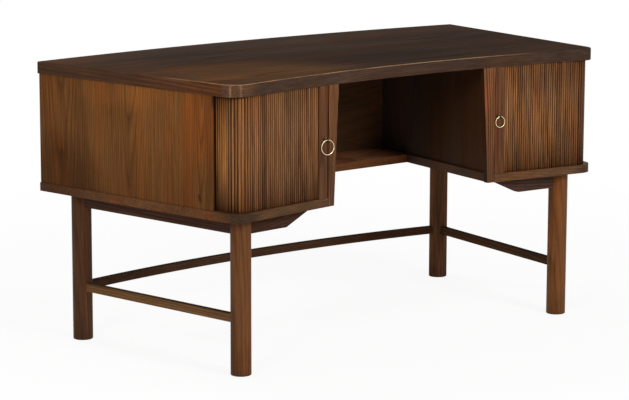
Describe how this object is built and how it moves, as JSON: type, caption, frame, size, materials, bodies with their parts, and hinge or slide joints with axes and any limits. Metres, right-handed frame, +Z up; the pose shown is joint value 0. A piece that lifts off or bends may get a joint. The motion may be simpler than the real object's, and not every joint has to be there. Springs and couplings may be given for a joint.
{
  "type": "tambour desk",
  "caption": "Fan-shaped writing desk on round legs, with a tambour cupboard each side of the kneehole and an open bookcase behind.",
  "frame": {"origin": "middle of the desk's box, on the floor", "axes": "+X to the seated user's right along the desk's length, +Y away from the user, +Z up"},
  "size_m": [1.5, 0.7699, 0.762],
  "materials": {
    "dark_oak_top": "dark stained oak, satin varnish",
    "oak_edging": "stained solid oak edging, satin, worn arrises",
    "oak_panel": "stained oak veneer, satin varnish",
    "oak_stile": "stained solid oak, satin",
    "oak_slats": "stained oak slats, satin",
    "oak_board": "stained oak board, satin",
    "oak_frame": "stained solid oak, satin",
    "oak_inside": "plain oak, dull varnish",
    "brass": "polished, lightly tarnished",
    "steel_screws": "dull",
    "linen_backing": "woven linen glued to the slats"
  },
  "bodies": {
    "root": {"back_apron": "oak_frame", "back_stretcher": "oak_frame", "base_screws": "steel_screws", "bookcase_shelf": "oak_inside", "bridge_board": "oak_board", "left_back_leg": "oak_frame", "left_bottom_board": "oak_board", "left_bottom_board_lipping": "oak_edging", "left_cupboard_back": "oak_panel", "left_cupboard_shelf": "oak_inside", "left_end_panel": "oak_panel", "left_front_apron": "oak_frame", "left_front_leg": "oak_frame", "left_kneehole_panel": "oak_panel", "left_pocket_liner": "oak_inside", "left_side_apron": "oak_frame", "left_side_stretcher": "oak_frame", "left_stile": "oak_stile", "left_tambour_corner_slats": "oak_slats", "left_tambour_front_canvas": "linen_backing", "left_tambour_front_slats": "oak_slats", "left_tambour_pocket_slats": "oak_slats", "left_tambour_side_canvas": "linen_backing", "left_top_end_lipping": "oak_edging", "modesty_panel": "oak_panel", "right_back_leg": "oak_frame", "right_bottom_board": "oak_board", "right_bottom_board_lipping": "oak_edging", "right_cupboard_back": "oak_panel", "right_cupboard_shelf": "oak_inside", "right_end_panel": "oak_panel", "right_front_apron": "oak_frame", "right_front_leg": "oak_frame", "right_kneehole_panel": "oak_panel", "right_pocket_liner": "oak_inside", "right_side_apron": "oak_frame", "right_side_stretcher": "oak_frame", "right_stile": "oak_stile", "right_tambour_corner_slats": "oak_slats", "right_tambour_front_canvas": "linen_backing", "right_tambour_front_slats": "oak_slats", "right_tambour_pocket_slats": "oak_slats", "right_tambour_side_canvas": "linen_backing", "right_top_end_lipping": "oak_edging", "shelf_pins": "brass", "top_back_lipping": "oak_edging", "top_block_screws": "steel_screws", "top_blocks": "oak_inside", "top_front_lipping": "oak_edging", "top_panel": "dark_oak_top"},
    "left_door_rail": {"left_lead_rail": "oak_stile", "left_ring_staple": "brass"},
    "left_ring": {"left_ring_pull": "brass"},
    "right_door_rail": {"right_lead_rail": "oak_stile", "right_ring_staple": "brass"},
    "right_ring": {"right_ring_pull": "brass"}
  },
  "joints": [
    {"name": "left_tambour_slide", "type": "slide", "parent": "root", "child": "left_door_rail", "axis": [-0.9891, -0.1475, 0], "range_m": [0, 0.228], "deforming": ["left_tambour_front_slats", "left_tambour_front_canvas"]},
    {"name": "left_ring_swing", "type": "hinge", "parent": "left_door_rail", "child": "left_ring", "pos_m": [-0.30895, -0.35016, 0.589], "axis": [-0.9954, 0.0962, 0], "range_deg": [0, 110]},
    {"name": "right_tambour_slide", "type": "slide", "parent": "root", "child": "right_door_rail", "axis": [0.9891, -0.1475, 0], "range_m": [0, 0.228], "deforming": ["right_tambour_front_slats", "right_tambour_front_canvas"]},
    {"name": "right_ring_swing", "type": "hinge", "parent": "right_door_rail", "child": "right_ring", "pos_m": [0.30895, -0.35016, 0.594], "axis": [-0.9891, 0.1475, 0], "range_deg": [0, 110]}
  ]
}
